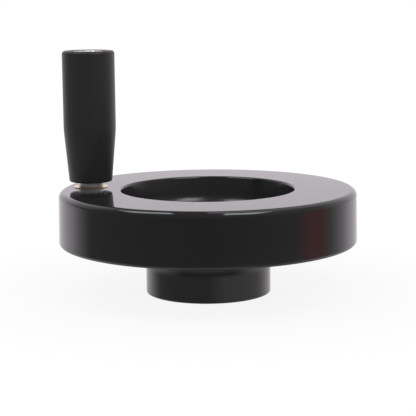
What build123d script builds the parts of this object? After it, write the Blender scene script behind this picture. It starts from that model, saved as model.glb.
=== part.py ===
from build123d import *
from math import pi, radians, tan
import os

# Machine handwheel with a revolving handle.
#
# The wheel is one phenolic moulding: a thick plain rim, a bowl-like dish in its face, and a hub that stands
# out behind with a wide radius at its root. It is moulded round two metal inserts: a steel bush in the hub, with
# a keyed bore for the machine's shaft, and a brass insert in the rim, tapped for the handle. The handle is
# a plastic grip that turns on a plated steel spindle, which has a thread, a plain shank and a sunk head.
#
# Frame: the hub's end face lies on the XY plane and the wheel's axis is Z. The dish faces +Z, and the
# handle stands on the -X side. All sizes are in millimetres.

# ---- wheel ----
wheel_diameter = 125.0  # over the rim's foot, where it is widest
rim_width = 26.1  # from the rim's foot in to the mouth of the dish
rim_height = 22.35
rim_draft = 0.8  # degrees: the rim's wall leans in towards the face
rim_face_round = 2.5
rim_foot_round = 1.3
dish_depth = 12.6
dish_slope = 9.5  # degrees: the dish narrows towards its floor
dish_mouth_round = 1.0
dish_floor_round = 6.0
hub_diameter = 52.6
hub_projection = 21.35  # below the rim's foot
hub_root_radius = 11.0
hub_end_round = 0.6

# ---- bush in the hub ----
shaft_diameter = 14.0
key_width = 5.0
key_depth = 2.3  # from the bore's wall to the floor of the keyway
bush_wall = 6.0
bush_stand = 0.5  # above the floor of the dish
bore_chamfer = 0.8

# ---- insert in the rim ----
handle_inset = 12.5  # from the rim's foot in to the handle's axis
insert_diameter = 14.5
insert_floor = 5.0  # phenolic left below the insert
insert_stand = 0.3  # above the rim's face
insert_chamfer = 0.6  # at each end of the tapped hole

# ---- the hold that the plastic has on both inserts ----
collar_length = 2.5  # plain end of an insert
knurl_pitch = 2.2  # round the circumference
knurl_depth = 0.6
groove_width = 3.0
groove_depth = 1.4

# ---- spindle ----
thread_diameter = 8.0
thread_end_room = 2.3  # tapped hole left below the thread's tip
tip_chamfer = 1.0
relief_width = 1.4  # turned groove between the thread and the shoulder
relief_depth = 0.8
shank_diameter = 10.4
shoulder_chamfer = 0.3
head_diameter = 13.4
head_height = 8.0
head_chamfer = 0.5
socket_width = 6.0  # across the flats of the hexagon
socket_depth = 4.0

# ---- grip ----
grip_diameter = 22.0
grip_length = 55.0
neck_diameter = 18.0
taper_length = 22.0  # from the neck to where the cylinder starts
taper_blend = 40.0
neck_round = 0.8
grip_end_round = 1.2
mouth_chamfer = 0.5  # of the bore and the head's recess

# ---- clearances ----
thread_clearance = 0.05  # radial, thread in the tapped hole
bore_clearance = 0.08  # radial, shank in the grip's bore
head_clearance = 0.5  # radial, head in its recess
head_gap = 0.3  # under the head, so that the grip runs free
head_sink = 0.2  # of the head below the grip's end
neck_gap = 2.2  # from the insert's face up to the grip's neck

# ---- heights and radii that follow ----
rim_foot_z = hub_projection
rim_face_z = rim_foot_z + rim_height
dish_floor_z = rim_face_z - dish_depth
rim_foot_radius = wheel_diameter / 2
dish_mouth_radius = rim_foot_radius - rim_width
shaft_radius = shaft_diameter / 2
bush_diameter = shaft_diameter + 2 * bush_wall
bush_length = dish_floor_z + bush_stand
handle_x = handle_inset - rim_foot_radius
insert_foot_z = rim_foot_z + insert_floor
insert_face_z = rim_face_z + insert_stand
insert_length = insert_face_z - insert_foot_z
tapped_radius = thread_diameter / 2 + thread_clearance
thread_length = insert_length - thread_end_room
recess_depth = head_height + head_gap + head_sink
shank_length = neck_gap + grip_length - recess_depth + head_gap
neck_z = insert_face_z + neck_gap


def turned(*corners):
    """A solid turned about Z. Each corner of its half outline is (radius, height, corner radius)."""
    points = [(radius, height) for radius, height, _ in corners]
    rounds = [corner for _, _, corner in corners]
    with BuildPart() as made:
        with BuildSketch(Plane.XZ):
            with BuildLine():
                FilletPolyline(*points, radius=rounds, close=True)
            make_face()
        revolve(axis=Axis.Z)
    return made.part


def chamfered_hole(radius, length, chamfer):
    """The space of a round through hole that starts at Z = 0 and opens out at each end."""
    return turned(
        (0, 0, 0),
        (radius + chamfer, 0, 0),
        (radius, chamfer, 0),
        (radius, length - chamfer, 0),
        (radius + chamfer, length, 0),
        (0, length, 0),
    )


def knurled_barrel(diameter, length):
    """The outside of a moulded-in insert that stands on Z = 0.

    Its ends are plain collars, which seal against the mould. Between them a straight knurl stops it
    from turning in the plastic, and a groove round the middle stops it from being pulled out.
    """
    crest = diameter / 2
    root = crest - knurl_depth
    teeth = round(pi * diameter / knurl_pitch)
    flank = 180 / teeth
    ring = [Vector(root if step % 2 else crest, 0).rotate(Axis.Z, step * flank) for step in range(2 * teeth)]
    with BuildPart() as barrel:
        with BuildSketch():
            with BuildLine():
                Polyline(*ring, close=True)
            make_face()
        extrude(amount=length)
        for start in (0, length - collar_length):
            with Locations((0, 0, start)):
                Cylinder(crest, collar_length, align=(Align.CENTER, Align.CENTER, Align.MIN))
        with BuildSketch(Plane.XY.offset((length - groove_width) / 2)):
            Circle(diameter)
            Circle(crest - groove_depth, mode=Mode.SUBTRACT)
        extrude(amount=groove_width, mode=Mode.SUBTRACT)
    return barrel.part


def wheel_moulding(bush_space, insert_space):
    """The phenolic wheel, moulded round its two inserts."""
    rim_lean = rim_height * tan(radians(rim_draft))
    dish_lean = dish_depth * tan(radians(dish_slope))
    body = turned(
        (0, 0, 0),
        (hub_diameter / 2, 0, hub_end_round),
        (hub_diameter / 2, rim_foot_z, hub_root_radius),
        (rim_foot_radius, rim_foot_z, rim_foot_round),
        (rim_foot_radius - rim_lean, rim_face_z, rim_face_round),
        (dish_mouth_radius, rim_face_z, dish_mouth_round),
        (dish_mouth_radius - dish_lean, dish_floor_z, dish_floor_round),
        (0, dish_floor_z, 0),
    )
    return body - bush_space - insert_space


def hub_bush(barrel):
    """The steel bush: a chamfered bore with a keyway on the side away from the handle."""
    bore = chamfered_hole(shaft_radius, bush_length, bore_chamfer)
    keyway = Box(
        shaft_radius + key_depth,
        key_width,
        bush_length,
        align=(Align.MIN, Align.CENTER, Align.MIN),
    )
    return barrel - bore - keyway


def handle_insert(barrel):
    """The brass insert, tapped right through. Its thread is a plain bore that clears the spindle's."""
    return barrel - chamfered_hole(tapped_radius, insert_length, insert_chamfer)


def handle_spindle():
    """The shoulder spindle, thread down: its tip is at Z = 0."""
    thread = thread_diameter / 2
    shank = shank_diameter / 2
    head = head_diameter / 2
    head_z = thread_length + shank_length
    top_z = head_z + head_height
    body = turned(
        (0, 0, 0),
        (thread - tip_chamfer, 0, 0),
        (thread, tip_chamfer, 0),
        (thread, thread_length - relief_width, 0),
        (thread - relief_depth, thread_length - relief_width + relief_depth / 2, 0),
        (thread - relief_depth, thread_length, 0),
        (shank - shoulder_chamfer, thread_length, 0),
        (shank, thread_length + shoulder_chamfer, 0),
        (shank, head_z, 0),
        (head - head_chamfer, head_z, 0),
        (head, head_z + head_chamfer, 0),
        (head, top_z - head_chamfer, 0),
        (head - head_chamfer, top_z, 0),
        (0, top_z, 0),
    )
    with BuildPart() as socket:
        with BuildSketch(Plane.XY.offset(top_z)):
            RegularPolygon(socket_width / 2, 6, major_radius=False)
        extrude(amount=-socket_depth)
    return body - socket.part


def handle_grip():
    """The grip, neck down on Z = 0: a bored sleeve with a recess in its outer end for the spindle's head."""
    bore = shank_diameter / 2 + bore_clearance
    recess = head_diameter / 2 + head_clearance
    recess_z = grip_length - recess_depth
    return turned(
        (bore + mouth_chamfer, 0, 0),
        (neck_diameter / 2, 0, neck_round),
        (grip_diameter / 2, taper_length, taper_blend),
        (grip_diameter / 2, grip_length, grip_end_round),
        (recess + mouth_chamfer, grip_length, 0),
        (recess, grip_length - mouth_chamfer, 0),
        (recess, recess_z, 0),
        (bore, recess_z, 0),
        (bore, mouth_chamfer, 0),
    )


bush_barrel = knurled_barrel(bush_diameter, bush_length)
insert_barrel = knurled_barrel(insert_diameter, insert_length)
insert_place = Pos(handle_x, 0, insert_foot_z)
spindle_place = Pos(handle_x, 0, insert_face_z - thread_length)
grip_place = Pos(handle_x, 0, neck_z)

nodes = {
    "wheel": wheel_moulding(bush_barrel, insert_place * insert_barrel),
    "hub_bush": hub_bush(bush_barrel),
    "handle_insert": insert_place * handle_insert(insert_barrel),
    "handle_spindle": spindle_place * handle_spindle(),
    "handle_grip": grip_place * handle_grip(),
}

os.makedirs("parts", exist_ok=True)
for name, solid in nodes.items():
    export_step(solid, f"parts/{name}.step")
    size = solid.bounding_box().size
    print(f"{name}: {size.X:.1f} x {size.Y:.1f} x {size.Z:.1f} mm, {solid.volume:.0f} mm3")
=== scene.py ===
# %% [markdown]
# # A machine handwheel with a revolving handle
#
# The object is a plain black wheel, moulded from phenolic resin round a steel bush and a brass insert,
# with a plastic grip that turns on a plated spindle. Almost every surface of it was turned or moulded
# round an axis, so almost every surface here is one outline carried round a circle.
#
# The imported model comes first. It says where each piece is and how far it reaches. The object's lengths
# are in millimetres, and one factor turns them into metres where a mesh or a pattern needs them. The
# table and the lamps, far down, are in metres.

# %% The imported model
from math import ceil, cos, pi, radians, sin, tan

import bpy
import numpy as np
from mathutils import Matrix, Vector


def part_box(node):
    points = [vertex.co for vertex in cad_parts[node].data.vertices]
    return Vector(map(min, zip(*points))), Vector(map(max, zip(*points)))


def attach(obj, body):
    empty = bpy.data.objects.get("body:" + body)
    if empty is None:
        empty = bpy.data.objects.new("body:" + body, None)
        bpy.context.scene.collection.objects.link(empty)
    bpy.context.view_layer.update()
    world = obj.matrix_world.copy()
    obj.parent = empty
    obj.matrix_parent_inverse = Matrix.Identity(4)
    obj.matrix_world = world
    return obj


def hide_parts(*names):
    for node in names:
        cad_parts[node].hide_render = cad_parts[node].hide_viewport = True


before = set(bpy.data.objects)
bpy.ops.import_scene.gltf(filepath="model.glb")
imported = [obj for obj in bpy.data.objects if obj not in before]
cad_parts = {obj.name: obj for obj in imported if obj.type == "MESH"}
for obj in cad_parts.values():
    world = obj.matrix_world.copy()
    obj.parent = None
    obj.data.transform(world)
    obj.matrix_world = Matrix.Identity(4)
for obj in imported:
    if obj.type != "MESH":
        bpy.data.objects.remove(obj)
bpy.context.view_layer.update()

MM = 0.001  # metres


def reach(name):
    """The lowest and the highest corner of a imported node, in millimetres."""
    low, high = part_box(name)
    return np.array(low) / MM, np.array(high) / MM


for name in sorted(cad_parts):
    low, high = reach(name)
    print(f"{name}: {np.round(high - low, 2)} mm, from {np.round(low, 2)}")

# %% [markdown]
# ## Outlines with rounded corners
#
# A moulding has no sharp corner: the tool that cut the mould had a nose, and a sharp corner would crack.
# An outline could be drawn point by point, but a list of corners, each with its own rounding, is shorter
# and can be read. One function turns that list into points.

# %% From corners to an outline
ARC_STEP = 7.5  # degrees between two points of a rounded corner


def outline_of(corners):
    """The closed outline through the corners (radius, height, rounding), as an array of (radius, height).

    At a corner P, with unit vectors a and b towards its neighbours and half the angle between them h, the
    arc of radius r touches the sides at P + a r / tan h and P + b r / tan h, and its centre lies at
    P + (a + b) / |a + b| r / sin h.
    """
    places = [np.array(corner[:2], float) for corner in corners]
    pieces = []
    for here, place in enumerate(places):
        rounding = corners[here][2]
        if rounding == 0:
            pieces.append(place[None])
            continue
        before = places[here - 1] - place
        after = places[(here + 1) % len(places)] - place
        before /= np.linalg.norm(before)
        after /= np.linalg.norm(after)
        half = np.arccos(before @ after) / 2
        middle = (before + after) / np.linalg.norm(before + after)
        centre = place + middle * rounding / sin(half)
        start = place + before * rounding / tan(half) - centre
        end = place + after * rounding / tan(half) - centre
        first = np.arctan2(start[1], start[0])
        sweep = np.arctan2(start[0] * end[1] - start[1] * end[0], start @ end)
        steps = max(2, ceil(abs(np.degrees(sweep)) / ARC_STEP))
        turn = first + sweep * np.linspace(0, 1, steps + 1)
        pieces.append(centre + rounding * np.stack([np.cos(turn), np.sin(turn)], 1))
    return np.concatenate(pieces)


print(f"a rounded right angle gets {ceil(90 / ARC_STEP) + 1} points")

# %% [markdown]
# ## From an outline to a surface
#
# A lathe carries one outline round an axis. As a formula, its point at the angle a is
# (r cos a, r sin a, z), so the surface is a grid: one row for each point of the outline, one column for
# each angle. Blender's Spin or Screw could do the same, but the radius of a grid can also change with the
# angle, which the thread, the knurl and the hexagon below need. Each function fills whole arrays at once.

# %% A grid round an upright axis
def angles(columns):
    """The angle of each column, in radians, as one row."""
    return np.arange(columns)[None] * 2 * pi / columns


def turned(radii, heights, axis_x=0.0):
    """Points of a grid: x = axis x + r cos a, y = r sin a, z = height, for the angle a of each column."""
    turn = angles(radii.shape[1])
    heights = np.broadcast_to(heights, radii.shape)
    return np.stack([axis_x + radii * np.cos(turn), radii * np.sin(turn), heights], 2)


def strip(ring, next_ring):
    """Quads between rings of points and the rings that follow them, given as arrays of point numbers.

    Each quad goes round its ring, over to the next ring and back. It points outwards where the rings
    follow an outline that runs anticlockwise, with the radius to the right and the height upwards.
    """
    corners = [ring, np.roll(ring, -1, -1), np.roll(next_ring, -1, -1), next_ring]
    return np.stack(corners, -1).reshape(-1, 4)


def fan(ring, pole):
    """Triangles from each side of a ring of points to one point, the pole."""
    return np.stack([ring, np.roll(ring, -1), np.full(len(ring), pole)], 1)


print(f"the columns of a grid of 8 stand at {np.degrees(angles(8))[0].round()} degrees")

# %% [markdown]
# ## From a grid to a piece
#
# Each piece is one mesh, and its object stays at the origin. Its faces are smooth, apart from edges that
# turn by more than 30 degrees, which stay crisp. A large flat face beside a small rounding needs one more
# thing. If each corner took the plain average of the faces round it, the rounding would tilt the light on
# the flat face. The Weighted Normal modifier lets the larger face decide, so a gloss stays flat up to the
# rounding.

# %% A mesh, its shading and the body that it rides on
CRISP = radians(30)


def volume(mesh):
    """The volume in cubic centimetres: a third of the sum of face area times centre dot normal."""
    count = len(mesh.polygons)
    area, centre, normal = np.empty(count), np.empty(count * 3), np.empty(count * 3)
    mesh.polygons.foreach_get("area", area)
    mesh.polygons.foreach_get("center", centre)
    mesh.polygons.foreach_get("normal", normal)
    return float(area @ (centre * normal).reshape(-1, 3).sum(1)) / 3 / (10 * MM) ** 3


def keep_crisp(mesh, soft):
    """Marks the crisp edges. soft says of each point whether it is on a thread, where no edge is crisp."""
    mesh.set_sharp_from_angle(angle=CRISP)
    ends = np.empty(len(mesh.edges) * 2, np.int32)
    mesh.edges.foreach_get("vertices", ends)
    crisp = np.empty(len(mesh.edges), bool)
    mesh.edges.foreach_get("use_edge_sharp", crisp)
    mesh.edges.foreach_set("use_edge_sharp", crisp & ~soft[ends.reshape(-1, 2)].all(1))


def add_piece(name, points, faces, body, stands_for, soft=None):
    """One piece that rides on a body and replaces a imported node.

    Its points are in millimetres, and its faces are a list of arrays of point numbers. Points that no
    face uses are left out: the new number of a point is the count of used points before it.
    """
    used = np.zeros(len(points), bool)
    for part in faces:
        used[part] = True
    new_number = np.cumsum(used) - 1
    renumbered = [face for part in faces for face in new_number[part].tolist()]
    mesh = bpy.data.meshes.new(name)
    mesh.from_pydata((points[used] * MM).tolist(), [], renumbered)
    mesh.shade_smooth()
    soft = np.zeros(len(points), bool) if soft is None else soft
    keep_crisp(mesh, soft[used])
    piece = bpy.data.objects.new(name, mesh)
    bpy.context.scene.collection.objects.link(piece)
    piece.modifiers.new("even shading", "WEIGHTED_NORMAL").keep_sharp = True
    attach(piece, body)
    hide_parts(stands_for)
    print(f"{name}: {len(mesh.vertices)} points, {len(mesh.polygons)} faces, {volume(mesh):.2f} cm3")
    return piece


# %% [markdown]
# ## The wheel
#
# The wheel is one compression moulding: a thick rim, a dish in its face, and a hub behind with a wide
# radius at its root. The rim's wall leans by about a degree, so that it leaves the mould. The dish is
# more like a bowl: its wall slopes by nearly ten degrees and runs into the floor in a wide curve.
# Cylinders with cuts and bevels could make it too, but one outline keeps each rounding as wide as it
# should be. The outline runs from the hub's end up the outside, in over the face, down into the dish and
# back along the pocket of the bush.

# %% The wheel's outline, in millimetres
rim_foot_radius = 62.5
rim_width = 26.1
rim_height = 22.35
rim_draft = radians(0.8)
rim_face_round = 2.5
rim_foot_round = 1.3
dish_depth = 12.6
dish_slope = radians(9.5)
dish_mouth_round = 1.0
dish_floor_round = 6.0
hub_radius = 26.3
hub_root_radius = 11.0
hub_end_round = 0.6

wheel_low, wheel_high = reach("wheel")
hub_end_z, rim_face_z = wheel_low[2], wheel_high[2]
rim_foot_z = rim_face_z - rim_height
dish_floor_z = rim_face_z - dish_depth
dish_mouth_radius = rim_foot_radius - rim_width
bush_radius = reach("hub_bush")[1][0]
rim_lean = rim_height * tan(rim_draft)
dish_lean = dish_depth * tan(dish_slope)

wheel_outline = outline_of(
    [
        (bush_radius, hub_end_z, 0),
        (hub_radius, hub_end_z, hub_end_round),
        (hub_radius, rim_foot_z, hub_root_radius),
        (rim_foot_radius, rim_foot_z, rim_foot_round),
        (rim_foot_radius - rim_lean, rim_face_z, rim_face_round),
        (dish_mouth_radius, rim_face_z, dish_mouth_round),
        (dish_mouth_radius - dish_lean, dish_floor_z, dish_floor_round),
        (bush_radius, dish_floor_z, 0),
    ]
)
print(f"the wheel's outline has {len(wheel_outline)} points")

# %% [markdown]
# ## The pocket for the brass insert
#
# One thing on the wheel isn't round the wheel's own axis: the pocket in its face that holds the brass
# insert. A Boolean modifier could cut it, but it leaves long thin triangles on a face that mirrors like
# glass. Here a patch of the flat face is left out, and a ring of quads joins the patch's border to the
# pocket's circle. Each point of the circle has the same direction from the pocket's axis as its partner
# on the border.

# %% The wheel's grid, with a patch left out
WHEEL_COLUMNS = 360
FACE_ROWS = 8  # steps from the rim's edge in to the dish, on the flat face
PATCH_HALF = 12  # columns on each side of the pocket that the patch takes up

on_face = np.flatnonzero(np.isclose(wheel_outline[:, 1], rim_face_z))
face_start, face_end = wheel_outline[on_face[0]], wheel_outline[on_face[-1]]
between = np.linspace(face_start, face_end, FACE_ROWS + 1)[1:-1]
wheel_rows = np.insert(wheel_outline, on_face[-1], between, axis=0)
face_rows = on_face[0] + np.arange(FACE_ROWS + 1)

wheel_radii = np.repeat(wheel_rows[:, :1], WHEEL_COLUMNS, 1)
wheel_points = turned(wheel_radii, wheel_rows[:, 1:]).reshape(-1, 3)
number = np.arange(len(wheel_points)).reshape(-1, WHEEL_COLUMNS)

patch_columns = WHEEL_COLUMNS // 2 + np.arange(-PATCH_HALF, PATCH_HALF + 1)
kept = np.ones(number.shape, bool)
kept[face_rows[0] : face_rows[-1], patch_columns[0] : patch_columns[-1]] = False
body_faces = strip(number, np.roll(number, -1, 0))[kept.ravel()]
print(f"the wheel's grid has {kept.sum()} faces, and the patch leaves out {kept.size - kept.sum()}")

# %% From the patch's border to the floor of the pocket
PATCH_RINGS = 4  # of quads, from the border to the pocket's circle

insert_low, insert_high = reach("handle_insert")
insert_foot_z, insert_face_z = insert_low[2], insert_high[2]
insert_radius = (insert_high[0] - insert_low[0]) / 2
handle_x = (insert_low[0] + insert_high[0]) / 2

patch = number[np.ix_(face_rows, patch_columns)]
border = np.concatenate([patch[0, :-1], patch[:-1, -1], patch[-1, :0:-1], patch[:0:-1, 0]])
border_points = wheel_points[border]
pocket_mouth = np.array([handle_x, 0, rim_face_z])
spokes = border_points - pocket_mouth
circle = pocket_mouth + insert_radius * (spokes / np.linalg.norm(spokes, axis=1)[:, None])
share = np.linspace(0, 1, PATCH_RINGS + 1)[1:, None, None]
floor_circle = circle * [1, 1, 0] + [0, 0, insert_foot_z]
pocket_rings = np.concatenate([border_points + share * (circle - border_points), floor_circle[None]])
floor_middle = np.array([[handle_x, 0, insert_foot_z]])

new_numbers = len(wheel_points) + np.arange(pocket_rings[..., 0].size).reshape(len(pocket_rings), -1)
ring_numbers = np.concatenate([border[None], new_numbers])
pocket_faces = strip(ring_numbers[:-1], ring_numbers[1:])
floor_faces = fan(ring_numbers[-1], ring_numbers[-1, -1] + 1)
wheel = add_piece(
    "wheel_moulding",
    np.concatenate([wheel_points, pocket_rings.reshape(-1, 3), floor_middle]),
    [body_faces, pocket_faces, floor_faces],
    "wheel",
    "wheel",
)

# %% [markdown]
# ## The thread
#
# The spindle screws into the insert with an M8 thread. A thread isn't a stack of rings: it climbs one
# pitch in each turn. The common trick is to sweep a small triangle along a helix, but its ends are then
# hard to close. Here the radius of a turned grid rises and falls instead, with the height and the angle
# together, and the chamfers cut it off cleanly where a cone is smaller.

# %% The rise of a thread, in millimetres
thread_pitch = 1.25
thread_depth = 0.77
crest_share = 1 / 8  # of the pitch that is flat on the crest
root_share = 1 / 4  # of the pitch that is flat in the root
flank_share = (1 - crest_share - root_share) / 2
THREAD_STEP = thread_pitch / 16  # between two rows of the grid


def thread_rise(heights, columns):
    """How high a right-hand thread stands, from 0 in its root to 1 on its crest.

    The phase is height / pitch - angle / a full turn, without its whole number. The crest is at phase 1/2,
    and the rise falls in a straight line on both sides, over the share of the pitch that the flank takes.
    """
    phase = np.mod(heights / thread_pitch - angles(columns) / (2 * pi), 1)
    return np.clip((0.5 - root_share / 2 - np.abs(phase - 0.5)) / flank_share, 0, 1)


print(f"the thread climbs {thread_pitch} mm in a turn, and has a row every {THREAD_STEP:.3f} mm")

# %% [markdown]
# ## The brass insert
#
# The insert is turned from brass bar. A straight knurl stops it from turning in the plastic, a groove
# stops it from being pulled out, and plain collars at both ends seal against the mould. Only its face and
# its tapped hole show, but the rest is here too, so that the piece is true when the wheel is cut open.
# The knurl could be cut tooth by tooth, but here it is one more radius that changes with the angle.

# %% Sizes of the insert, in millimetres
insert_teeth = 21
collar_length = 2.5
knurl_depth = 0.6
groove_width = 3.0
groove_depth = 1.4
hole_chamfer = 0.6
tapped_radius = 4.05
tapped_depth = 0.7  # a little less than the spindle's thread, whose root stays clear

groove_low = (insert_foot_z + insert_face_z - groove_width) / 2
groove_high = groove_low + groove_width
print(f"the groove lies between {groove_low:.2f} and {groove_high:.2f} mm")

# %% The insert's surface
INSERT_COLUMNS = 8 * insert_teeth

outside = np.array(  # radius, height, depth of the knurl
    [
        (insert_radius, insert_foot_z, 0),
        (insert_radius, insert_foot_z + collar_length, 0),
        (insert_radius, insert_foot_z + collar_length, knurl_depth),
        (insert_radius, groove_low, knurl_depth),
        (insert_radius - groove_depth, groove_low, 0),
        (insert_radius - groove_depth, groove_high, 0),
        (insert_radius, groove_high, knurl_depth),
        (insert_radius, insert_face_z - collar_length, knurl_depth),
        (insert_radius, insert_face_z - collar_length, 0),
        (insert_radius, insert_face_z, 0),
    ]
)
tooth = np.mod(angles(INSERT_COLUMNS) * insert_teeth / (2 * pi), 1)  # 0 on a crest, 1/2 in a root
outside_radii = outside[:, :1] - outside[:, 2:] * (1 - np.abs(2 * tooth - 1))

hole_rows = round((insert_face_z - insert_foot_z) / THREAD_STEP)
hole_heights = np.linspace(insert_face_z, insert_foot_z, hole_rows + 1)[:, None]
tapped = tapped_radius - tapped_depth * (1 - thread_rise(hole_heights, INSERT_COLUMNS))
from_end = np.minimum(insert_face_z - hole_heights, hole_heights - insert_foot_z)
hole_radii = np.maximum(tapped, tapped_radius + hole_chamfer - from_end)

insert_radii = np.concatenate([outside_radii, hole_radii])
insert_heights = np.concatenate([outside[:, 1:2], hole_heights])
insert_points = turned(insert_radii, insert_heights, handle_x).reshape(-1, 3)
number = np.arange(len(insert_points)).reshape(-1, INSERT_COLUMNS)
insert = add_piece(
    "rim_insert",
    insert_points,
    [strip(number, np.roll(number, -1, 0))],
    "wheel",
    "handle_insert",
    soft=number.ravel() > number[len(outside), -1],  # the hole, apart from its rim
)

# %% [markdown]
# ## The spindle
#
# The spindle is a shoulder screw: a short thread, a plain shank for the grip to turn on, and a head with
# a hexagon socket for the key. The turned groove under the shoulder lets the shoulder sit flat on the
# insert. The socket is the one place that isn't round. It could be cut out, but the grid takes it as it
# is: seen from the axis, the side of a hexagon lies at the distance w / 2 / cos(b), where b is the angle
# from the middle of that side.

# %% Sizes of the spindle, in millimetres
thread_radius = 4.0
tip_chamfer = 1.0
relief_width = 1.4
relief_depth = 0.8
shank_radius = 5.2
shoulder_chamfer = 0.3
head_height = 8.0
head_chamfer = 0.5
socket_width = 6.0
socket_depth = 4.0
socket_chamfer = 0.25

spindle_low, spindle_high = reach("handle_spindle")
tip_z, top_z = spindle_low[2], spindle_high[2]
head_radius = (spindle_high[0] - spindle_low[0]) / 2
head_z = top_z - head_height
socket_floor_z = top_z - socket_depth
relief_z = insert_face_z - relief_width
run_out_z = relief_z + relief_depth / 2  # where the relief's cone has come down to its floor
print(f"the thread runs from {tip_z:.2f} to {run_out_z:.2f} mm, and the head starts at {head_z:.2f} mm")

# %% The spindle's surface
SPINDLE_COLUMNS = 192  # a whole number for each side of the hexagon

thread_rows = round((run_out_z - tip_z) / THREAD_STEP)
thread_heights = np.linspace(tip_z, run_out_z, thread_rows + 1)[:, None]
threaded = thread_radius - thread_depth * (1 - thread_rise(thread_heights, SPINDLE_COLUMNS))
tip_cone = thread_radius - tip_chamfer + thread_heights - tip_z
relief_cone = thread_radius - 2 * (thread_heights - relief_z)
thread_radii = np.minimum(threaded, np.minimum(tip_cone, relief_cone))

shank = np.array(
    [
        (thread_radius - relief_depth, insert_face_z),
        (shank_radius - shoulder_chamfer, insert_face_z),
        (shank_radius, insert_face_z + shoulder_chamfer),
        (shank_radius, head_z),
        (head_radius - head_chamfer, head_z),
        (head_radius, head_z + head_chamfer),
        (head_radius, top_z - head_chamfer),
        (head_radius - head_chamfer, top_z),
    ]
)
shank_radii = np.repeat(shank[:, :1], SPINDLE_COLUMNS, 1)

side_angle = np.mod(angles(SPINDLE_COLUMNS), pi / 3) - pi / 6
hexagon = socket_width / 2 / np.cos(side_angle)
socket_radii = np.concatenate([hexagon + socket_chamfer, hexagon, hexagon])
socket_heights = np.array([top_z, top_z - socket_chamfer, socket_floor_z])[:, None]

spindle_radii = np.concatenate([thread_radii, shank_radii, socket_radii])
spindle_heights = np.concatenate([thread_heights, shank[:, 1:], socket_heights])
spindle_grid = turned(spindle_radii, spindle_heights, handle_x).reshape(-1, 3)
poles = np.array([(handle_x, 0, tip_z), (handle_x, 0, socket_floor_z)])
number = np.arange(len(spindle_grid)).reshape(-1, SPINDLE_COLUMNS)
tip_pole, socket_pole = len(spindle_grid), len(spindle_grid) + 1
spindle = add_piece(
    "spindle",
    np.concatenate([spindle_grid, poles]),
    [fan(number[0, ::-1], tip_pole), strip(number[:-1], number[1:]), fan(number[-1], socket_pole)],
    "spindle",
    "handle_spindle",
    soft=np.arange(len(spindle_grid) + 2) < len(thread_heights) * SPINDLE_COLUMNS,
)

# %% [markdown]
# ## The grip
#
# The grip is a moulded sleeve. It is a cylinder for most of its length and narrows in a straight cone
# towards the wheel, with a long soft blend between the two. A bore takes the shank, and a recess in the
# outer end takes the head. A tapered cylinder would be quicker to make, but the blend is what the hand
# and the eye notice, so all of it is one closed outline again.

# %% The grip's outline, in millimetres
neck_radius = 9.0
taper_length = 22.0
taper_blend = 40.0
neck_round = 0.8
grip_end_round = 1.2
mouth_chamfer = 0.5
bore_clearance = 0.08
head_clearance = 0.5
head_gap = 0.3

grip_low, grip_high = reach("handle_grip")
grip_radius = (grip_high[0] - grip_low[0]) / 2
neck_z, end_z = grip_low[2], grip_high[2]
bore_radius = shank_radius + bore_clearance
recess_radius = head_radius + head_clearance
recess_z = head_z - head_gap

grip_outline = outline_of(
    [
        (bore_radius + mouth_chamfer, neck_z, 0),
        (neck_radius, neck_z, neck_round),
        (grip_radius, neck_z + taper_length, taper_blend),
        (grip_radius, end_z, grip_end_round),
        (recess_radius + mouth_chamfer, end_z, 0),
        (recess_radius, end_z - mouth_chamfer, 0),
        (recess_radius, recess_z, 0),
        (bore_radius, recess_z, 0),
        (bore_radius, neck_z + mouth_chamfer, 0),
    ]
)
print(f"the grip's outline has {len(grip_outline)} points")

# %% The grip's surface
GRIP_COLUMNS = 256

grip_radii = np.repeat(grip_outline[:, :1], GRIP_COLUMNS, 1)
grip_points = turned(grip_radii, grip_outline[:, 1:], handle_x).reshape(-1, 3)
number = np.arange(len(grip_points)).reshape(-1, GRIP_COLUMNS)
grip = add_piece(
    "grip",
    grip_points,
    [strip(number, np.roll(number, -1, 0))],
    "grip",
    "handle_grip",
)

# %% [markdown]
# ## Finishes
#
# Each finish starts from what the real material is and how its surface was made. Colours are written as
# they look on a screen, as hex values, and one function turns them into the linear values that light adds
# up in. One more function adds a node, with its settings, its fixed inputs and its links in one line.

# %% Colours and nodes
def linear(code):
    """A hex colour as linear light, where c is a channel's share of full brightness on the screen.

    The linear value is c / 12.92 up to c = 0.04045, and ((c + 0.055) / 1.055) ^ 2.4 above it.
    """
    shares = [int(code[start : start + 2], 16) / 255 for start in (1, 3, 5)]
    return [c / 12.92 if c <= 0.04045 else ((c + 0.055) / 1.055) ** 2.4 for c in shares] + [1.0]


def node(tree, kind, inputs, **settings):
    """Adds a shader node. Each input is a value, or the socket of another node, which is linked."""
    made = tree.nodes.new("ShaderNode" + kind)
    for name, value in settings.items():
        setattr(made, name, value)
    for name, value in inputs.items():
        if isinstance(value, bpy.types.NodeSocket):
            tree.links.new(value, made.inputs[name])
        else:
            made.inputs[name].default_value = value
    return made


def new_material(name):
    """A material with no nodes yet, and its node tree."""
    material = bpy.data.materials.new(name)
    material.use_nodes = True
    material.node_tree.nodes.clear()
    return material, material.node_tree


print(f"half of full brightness on the screen is {linear('#808080')[0]:.2f} in linear light")

# %% [markdown]
# ## Black phenolic, compression moulded against a polished mould
#
# The resin is black right through, with an index of refraction near 1.6, higher than most plastics. What
# the eye sees is hardly its colour: it is the room in its gloss. The surface rolls a little where the
# resin shrank, about every 5 mm, and handling has left it slightly uneven in gloss. The rim was buffed
# after moulding, but a buffing wheel doesn't reach into the dish. There the gloss is duller, and the
# lamps blur into soft patches. Two materials could show that, but they would meet in a hard line. Here
# the roughness of one material fades across the mouth of the dish, by the distance from the wheel's axis.

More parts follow.
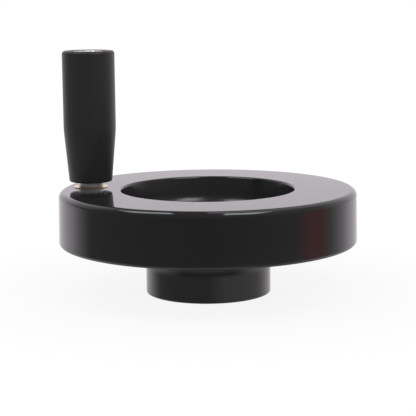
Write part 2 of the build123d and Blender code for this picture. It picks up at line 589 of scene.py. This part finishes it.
# %% Phenolic: a rolling, hazy gloss
RIPPLE = 5.0  # mm between two swells of the surface
RIPPLE_HEIGHT = 0.0006  # mm
HAZE = 18.0  # mm across a patch of duller gloss
CLEAREST = 0.05  # roughness of the buffed gloss, from its clearest patches
HAZIEST = 0.1  # to its haziest

phenolic, tree = new_material("buffed_black_phenolic")
place = node(tree, "TexCoord", {}).outputs["Object"]
swell = node(tree, "TexNoise", {"Vector": place, "Scale": 1 / (RIPPLE * MM), "Detail": 1.0})
rolling = node(
    tree,
    "Bump",
    {"Height": swell.outputs["Fac"], "Strength": 1.0, "Distance": RIPPLE_HEIGHT * MM},
)
haze = node(tree, "TexNoise", {"Vector": place, "Scale": 1 / (HAZE * MM), "Detail": 4.0})
gloss = node(tree, "MapRange", {"Value": haze.outputs["Fac"], "To Min": CLEAREST, "To Max": HAZIEST})
print(f"{phenolic.name}: roughness from {CLEAREST} to {HAZIEST} on the rim")

# %% Phenolic: the dull dish, and the shader
DISH_DULLNESS = 0.17  # roughness that the unbuffed dish has more than the rest
dull_radius = dish_mouth_radius - 0.8  # the dish is fully dull inside this radius
buffed_radius = dish_mouth_radius + 0.2  # and the face is fully buffed outside this one

# The distance from the wheel's axis is the length of the place with its height set to 0.
flat = node(tree, "VectorMath", {0: place, 1: (1, 1, 0)}, operation="MULTIPLY").outputs["Vector"]
radius = node(tree, "VectorMath", {0: flat}, operation="LENGTH").outputs["Value"]
dull = node(
    tree,
    "MapRange",
    {
        "Value": radius,
        "From Min": dull_radius * MM,
        "From Max": buffed_radius * MM,
        "To Min": DISH_DULLNESS,
        "To Max": 0.0,
    },
)
# Only what lies above the rim's foot is dulled, so that the hub keeps its gloss.
height = node(tree, "SeparateXYZ", {"Vector": place}).outputs["Z"]
above_hub = node(tree, "Math", {0: height, 1: rim_foot_z * MM}, operation="GREATER_THAN")
roughness = node(
    tree,
    "Math",
    {0: dull.outputs["Result"], 1: above_hub.outputs["Value"], 2: gloss.outputs["Result"]},
    operation="MULTIPLY_ADD",
)
shader = node(
    tree,
    "BsdfPrincipled",
    {
        "Base Color": linear("#242425"),
        "Roughness": roughness.outputs["Value"],
        "IOR": 1.6,
        "Normal": rolling.outputs["Normal"],
    },
)
node(tree, "OutputMaterial", {"Surface": shader.outputs["BSDF"]})
print(f"{phenolic.name}: {len(tree.nodes)} nodes, dull inside a radius of {dull_radius:.1f} mm")

# %% [markdown]
# ## Black grip plastic, moulded against a spark-eroded mould
#
# The grip is a tough thermoplastic. Its mould was spark eroded, which leaves a fine even grain, so that
# the hand doesn't slip. The grain spreads every reflection, and the grip looks matt and a shade lighter
# than the wheel. The grain is finer than most renders show, so a bump in the material is enough for it.

# %% Grip plastic
GRAIN = 0.35  # mm, about twice the real grain, so that it shows
GRAIN_HEIGHT = 0.012  # mm

grip_plastic, tree = new_material("grained_black_plastic")
place = node(tree, "TexCoord", {}).outputs["Object"]
grain = node(tree, "TexNoise", {"Vector": place, "Scale": 1 / (GRAIN * MM), "Detail": 2.0})
grained = node(
    tree,
    "Bump",
    {"Height": grain.outputs["Fac"], "Strength": 1.0, "Distance": GRAIN_HEIGHT * MM},
)
flow = node(tree, "TexNoise", {"Vector": place, "Scale": 1 / (HAZE * MM), "Detail": 2.0})
dye = node(
    tree,
    "MixRGB",
    {"Fac": flow.outputs["Fac"], "Color1": linear("#262628"), "Color2": linear("#2f2e30")},
)
shader = node(
    tree,
    "BsdfPrincipled",
    {
        "Base Color": dye.outputs["Color"],
        "Roughness": 0.42,
        "IOR": 1.5,
        "Normal": grained.outputs["Normal"],
    },
)
node(tree, "OutputMaterial", {"Surface": shader.outputs["BSDF"]})
print(f"{grip_plastic.name}: {len(tree.nodes)} nodes")

# %% [markdown]
# ## Turned metals
#
# A lathe tool leaves a spiral so fine that it reads as rings: across a face they lie round the axis, and
# along a shank they are stacked bands. Cutting them into the mesh would take millions of faces, and a
# Wave texture draws both. It repeats every 2 pi / (20 x scale), so the scale comes straight from the
# feed, the distance that the tool moves in one turn. Real feeds are near 0.1 mm, and the rings here are
# drawn twice as coarse so that they show.

# %% One recipe for the turned metals
CLOUD = 4.0  # mm across a patch of another tint and gloss
ROUGHNESS_SPREAD = 0.2  # share by which the roughness falls and rises over the patches
RINGS = {"wave_type": "RINGS", "rings_direction": "Z"}
BANDS = {"wave_type": "BANDS", "bands_direction": "Z"}


def turned_metal(name, marks, feed, mark_height, axis_x, light, dark, metallic, roughness):
    """A metal with tool marks round an upright axis, and a slow change between two tints.

    The scale of the marks is 2 pi / (20 x feed).
    """
    material, tree = new_material(name)
    place = node(tree, "TexCoord", {}).outputs["Object"]
    moved = node(tree, "Mapping", {"Vector": place, "Location": (-axis_x * MM, 0, 0)})
    centred = moved.outputs["Vector"]
    wave_scale = 2 * pi / (20 * feed * MM)
    wave = node(
        tree,
        "TexWave",
        {"Vector": centred, "Scale": wave_scale, "Distortion": 0.6, "Detail": 1.0},
        **marks,
    )
    cut = node(
        tree,
        "Bump",
        {"Height": wave.outputs["Fac"], "Strength": 1.0, "Distance": mark_height * MM},
    )
    clouds = node(tree, "TexNoise", {"Vector": centred, "Scale": 1 / (CLOUD * MM), "Detail": 3.0})
    cloud = clouds.outputs["Fac"]
    tint = node(tree, "MixRGB", {"Fac": cloud, "Color1": linear(light), "Color2": linear(dark)})
    smoothest = roughness * (1 - ROUGHNESS_SPREAD)
    roughest = roughness * (1 + ROUGHNESS_SPREAD)
    rough = node(tree, "MapRange", {"Value": cloud, "To Min": smoothest, "To Max": roughest})
    shader = node(
        tree,
        "BsdfPrincipled",
        {
            "Base Color": tint.outputs["Color"],
            "Metallic": metallic,
            "Roughness": rough.outputs["Result"],
            "Normal": cut.outputs["Normal"],
        },
    )
    node(tree, "OutputMaterial", {"Surface": shader.outputs["BSDF"]})
    print(f"{name}: {len(tree.nodes)} nodes")
    return material


# %% Brass, plated steel and bare steel
# Fresh turned brass is a pale warm gold with a fairly clear gloss, and rings run round its face.
brass = turned_metal(
    "turned_brass",
    RINGS,
    feed=0.22,
    mark_height=0.002,
    axis_x=handle_x,
    light="#e2cda8",
    dark="#c9a878",
    metallic=1.0,
    roughness=0.16,
)

# Zinc plating has a milky bloom over its shine, so it looks paler and softer than bare steel. The bloom is
# the share of it that isn't metallic. The bands of the lathe still show faintly through the plating.
plated_steel = turned_metal(
    "zinc_plated_steel",
    BANDS,
    feed=0.2,
    mark_height=0.001,
    axis_x=handle_x,
    light="#efedf1",
    dark="#dcdadf",
    metallic=0.65,
    roughness=0.26,
)

# Bare turned steel is a darker, neutral grey, and the rings round the bore give it a dull shine.
bush_steel = turned_metal(
    "turned_steel",
    RINGS,
    feed=0.24,
    mark_height=0.002,
    axis_x=0.0,
    light="#a9a9a8",
    dark="#8d8c8b",
    metallic=1.0,
    roughness=0.24,
)

# %% Each piece gets its finish
dressed = [(wheel, phenolic), (insert, brass), (spindle, plated_steel), (grip, grip_plastic)]
for piece, material in dressed:
    piece.data.materials.append(material)
    print(f"{piece.name}: {material.name}")
for material_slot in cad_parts["hub_bush"].material_slots:
    material_slot.material = bush_steel
    print(f"hub_bush: {material_slot.material.name}")

# %% [markdown]
# ## The camera
#
# The camera stands in front of the wheel, turned a little away from the handle's side and raised a little
# above the face. A long lens keeps the rim's ellipse close to a true one. A Track To constraint could aim
# it, but the camera also leans by half a degree, so its three directions are worked out and written into
# its matrix.

# %% Camera
VIEW_AZIMUTH = radians(8.5)
VIEW_ELEVATION = radians(9.15)
VIEW_DISTANCE = 590.3  # mm
VIEW_ROLL = radians(-0.53)
AIM = Vector((0.08, 0, 35.3))  # mm, close to the wheel's axis
PICTURE_WIDTH = 416  # pixels
FOCAL_PIXELS = 1404.7  # focal length, in pixels of that width

outwards = Vector(
    (
        sin(VIEW_AZIMUTH) * cos(VIEW_ELEVATION),
        -cos(VIEW_AZIMUTH) * cos(VIEW_ELEVATION),
        sin(VIEW_ELEVATION),
    )
)
sideways = Vector((cos(VIEW_AZIMUTH), sin(VIEW_AZIMUTH), 0))
upwards = outwards.cross(sideways)
right = sideways * cos(VIEW_ROLL) + upwards * sin(VIEW_ROLL)
up = upwards * cos(VIEW_ROLL) - sideways * sin(VIEW_ROLL)

lens = bpy.data.cameras.new("camera")
lens.sensor_width = 36  # mm
lens.lens = FOCAL_PIXELS / PICTURE_WIDTH * lens.sensor_width
lens.clip_start = 0.01
lens.clip_end = 100
camera = bpy.data.objects.new("camera", lens)
stand = Matrix.Translation((AIM + outwards * VIEW_DISTANCE) * MM)
camera.matrix_world = stand @ Matrix((right, up, outwards)).transposed().to_4x4()
bpy.context.scene.collection.objects.link(camera)
bpy.context.scene.camera = camera
bpy.context.scene.view_settings.view_transform = "Standard"
print(f"lens {lens.lens:.1f} mm, camera at {np.round(np.array(camera.location) / MM, 1)} mm")

# %% [markdown]
# ## The studio
#
# A black gloss shows the room more than itself, so the room matters. It is a plain product studio: a
# white backdrop behind the wheel that comes round both sides, a dim room round the camera that is a little
# paler on the right, and two soft boxes overhead. The camera itself sees plain white.
#
# Walls could be built round the wheel, but a room that is only mirrored needs no walls. It is drawn as
# rings of colour round the wheel, each at one height, and a few plain tones do for all of them. The edge of
# the table lies about eleven degrees below level, and the three rings under it are the table. The table's
# light and shade are painted into them: it is white at the sides and dimmer in front, and close behind the
# wheel the wheel's shadow on it is painted dark.

# %% The studio's tones
BACKDROP = "#fff8ff"
PALE = "#c8c8c8"
MIDDLE = "#909090"
DIM = "#686868"
DARK = "#404040"
CURTAIN = "#b06060"
CEILING_LIGHT = "#ffffff"
print("the darkest tone of the studio, in linear light:", np.round(linear(DARK), 3))

# %% The rings of the studio, as degrees to the right of the camera: colour
# The ceiling is dim on the left. On the right it grows evenly brighter, from the camera's side to the back,
# and there the two halves meet in an edge.
CEILING = {
    0: DIM,
    180: CEILING_LIGHT,
}
HIGH_RING = {  # straight behind the wheel, the dim room shows over the backdrop
    -170: DIM,
    -150: BACKDROP,
    -90: DIM,
    0: DIM,
    60: MIDDLE,
    100: MIDDLE,
    150: BACKDROP,
    170: DIM,
}
WALL_RING = {
    -140: BACKDROP,
    -90: DIM,
    0: DIM,
    90: MIDDLE,
    140: BACKDROP,
}
LEVEL_RING = {
    -140: BACKDROP,
    -110: DIM,
    0: DIM,
    90: MIDDLE,
    140: BACKDROP,
}
LOW_RING = {  # the foot of the walls, with a red curtain on the right
    -125: BACKDROP,
    -100: DIM,
    0: DARK,
    70: DIM,
    80: CURTAIN,
    95: CURTAIN,
    105: MIDDLE,
    135: BACKDROP,
}
# The table as the gloss sees it, with painted shade: dimmer in front than at the sides.
TABLE_RING = {
    -130: BACKDROP,
    -100: MIDDLE,
    0: MIDDLE,
    30: PALE,
    100: PALE,
    130: BACKDROP,
}
# Painted shade: the dark straight behind is the wheel's painted shadow on the table close by.
NEAR_RING = {  # dim in front, white at the sides and dark straight behind
    -180: DARK,
    -125: BACKDROP,
    -100: BACKDROP,
    -50: DIM,
    50: DIM,
    100: BACKDROP,
    125: BACKDROP,
    180: DARK,
}
# Painted shade: the dark straight behind is the wheel's painted shadow on the table right under it.
NEAREST_RING = {
    -180: DARK,
    -120: PALE,
    120: PALE,
    180: DARK,
}
STUDIO = [  # height in degrees, and the ring there
    (60, CEILING),
    (45, HIGH_RING),
    (30, HIGH_RING),
    (20, WALL_RING),
    (5, LEVEL_RING),
    (-10, LOW_RING),
    (-12, TABLE_RING),
    (-30, NEAR_RING),
    (-60, NEAREST_RING),
]
print(f"the studio has {len(STUDIO)} rings, from {STUDIO[-1][0]} to {STUDIO[0][0]} degrees")

# %% [markdown]
# ## The world
#
# A color ramp runs once round each ring. Its factor is the direction's turn from the camera, as a share
# of a full turn. Between two rings the colour changes evenly with the sine of the height. All other light
# from the world is a soft fill, which reaches into the dish as well.

# %% World: a color ramp for each ring
world = bpy.data.worlds.new("studio")
world.use_nodes = True
tree = world.node_tree
tree.nodes.clear()
way = node(tree, "TexCoord", {}).outputs["Generated"]
centred = node(tree, "VectorRotate", {"Vector": way, "Angle": -VIEW_AZIMUTH}, rotation_type="Z_AXIS")
parts = node(tree, "SeparateXYZ", {"Vector": centred.outputs["Vector"]}).outputs
to_camera = node(tree, "Math", {0: parts["Y"], 1: -1.0}, operation="MULTIPLY").outputs["Value"]
turn = node(tree, "Math", {0: parts["X"], 1: to_camera}, operation="ARCTAN2").outputs["Value"]
share = node(tree, "MapRange", {"Value": turn, "From Min": -pi, "From Max": pi}).outputs["Result"]

rings = []
for degrees_up, colours in STUDIO:
    ramp = node(tree, "ValToRGB", {"Fac": share})
    stops = ramp.color_ramp.elements
    while len(stops) < len(colours):
        stops.new(1.0)
    for stop, (degrees, colour) in zip(stops, colours.items()):
        stop.position = degrees / 360 + 0.5
        stop.color = linear(colour)
    rings.append((sin(radians(degrees_up)), ramp.outputs["Color"]))
print(f"the rings have {sum(len(colours) for _, colours in STUDIO)} stops in all")

# %% World: from ring to ring, and what each ray sees
FILL = 0.55
WHITE = linear("#ffffff")

upper_height, studio = rings[0]
for ring_height, ring in rings[1:]:
    lower = node(
        tree,
        "MapRange",
        {"Value": parts["Z"], "From Min": upper_height, "From Max": ring_height},
    )
    mixed = node(tree, "MixRGB", {"Fac": lower.outputs["Result"], "Color1": studio, "Color2": ring})
    upper_height, studio = ring_height, mixed.outputs["Color"]

path = node(tree, "LightPath", {}).outputs
mirrored = {0: path["Is Glossy Ray"], 1: path["Is Transmission Ray"]}
in_gloss = node(tree, "Math", mirrored, operation="MAXIMUM").outputs["Value"]
lit = node(tree, "MixRGB", {"Fac": in_gloss, "Color1": (FILL, FILL, FILL, 1), "Color2": studio})
seen = node(
    tree,
    "MixRGB",
    {"Fac": path["Is Camera Ray"], "Color1": lit.outputs["Color"], "Color2": WHITE},
)
light = node(tree, "Background", {"Color": seen.outputs["Color"]})
node(tree, "OutputWorld", {"Surface": light.outputs["Background"]})
bpy.context.scene.world = world
print(f"{world.name}: {len(tree.nodes)} nodes")

# %% [markdown]
# ## The table
#
# The wheel stands on a white table. A plain matt table would turn grey towards its edge, where less light
# falls on it. So near the wheel the camera sees a share of the real matt surface, which keeps a soft
# shadow, and further out plain white. A gloss looks past the table into the studio, which has its own
# table, with the wheel's shadow painted into it.

# %% Table, in metres
TABLE_HALF = 30.0
SHADOW_SHARE = 0.12  # of the matt surface that the camera sees right under the wheel
FADE_START = 0.02  # from the wheel's axis
FADE_END = 0.20
PAGE_LIGHT = 1.02  # strength of the white that the camera sees, where 1 is plain white

corners = np.array([(-1, -1, 0), (1, -1, 0), (1, 1, 0), (-1, 1, 0)]) * TABLE_HALF
table_mesh = bpy.data.meshes.new("table")
table_mesh.from_pydata(corners.tolist(), [], [(0, 1, 2, 3)])
table = bpy.data.objects.new("table", table_mesh)
table.visible_glossy = False
bpy.context.scene.collection.objects.link(table)

white_table, tree = new_material("matt_white_table")
place = node(tree, "TexCoord", {}).outputs["Object"]
distance = node(tree, "VectorMath", {0: place}, operation="LENGTH").outputs["Value"]
share = node(
    tree,
    "MapRange",
    {
        "Value": distance,
        "From Min": FADE_START,
        "From Max": FADE_END,
        "To Min": SHADOW_SHARE,
        "To Max": 0.0,
    },
    interpolation_type="SMOOTHSTEP",
).outputs["Result"]
matt = node(tree, "BsdfDiffuse", {"Color": linear("#c8c8c8")}).outputs["BSDF"]
page = node(tree, "Emission", {"Color": WHITE, "Strength": PAGE_LIGHT}).outputs["Emission"]
shown = node(tree, "MixShader", {0: share, 1: page, 2: matt}).outputs["Shader"]
from_camera = node(tree, "LightPath", {}).outputs["Is Camera Ray"]
surface = node(tree, "MixShader", {0: from_camera, 1: matt, 2: shown}).outputs["Shader"]
node(tree, "OutputMaterial", {"Surface": surface})
table_mesh.materials.append(white_table)
print(f"{table.name}: {2 * TABLE_HALF:.0f} m wide, {len(tree.nodes)} nodes")

# %% [markdown]
# ## The lamps
#
# Two soft boxes hang over the wheel, with a gap between them. Each gives the same light all over its
# face. The radiance of an area lamp is its power over pi times its area, so the power comes from the
# radiance that a plain level needs, at which a colour looks about as it is written.

# %% Soft boxes, in metres
LAMP_RADIANCE = 3.8
LAMP_HEIGHT = 0.64
LAMPS = {  # centre to the right, centre to the back, width, depth, and the turn in degrees
    "soft_box_left": (-0.36, -0.09, 0.36, 0.30, -10),
    "soft_box_right": (0.26, -0.33, 0.30, 0.40, 8),
}

for lamp_name, (across, back, width, depth, turn) in LAMPS.items():
    lamp = bpy.data.lights.new(lamp_name, "AREA")
    lamp.shape = "RECTANGLE"
    lamp.size = width
    lamp.size_y = depth
    lamp.energy = LAMP_RADIANCE * pi * width * depth
    soft_box = bpy.data.objects.new(lamp_name, lamp)
    hung = Matrix.Translation((across, back, LAMP_HEIGHT)) @ Matrix.Rotation(radians(turn), 4, "Z")
    soft_box.matrix_world = Matrix.Rotation(VIEW_AZIMUTH, 4, "Z") @ hung
    soft_box.visible_camera = False
    bpy.context.scene.collection.objects.link(soft_box)
    print(f"{lamp_name}: {lamp.energy:.2f} W")
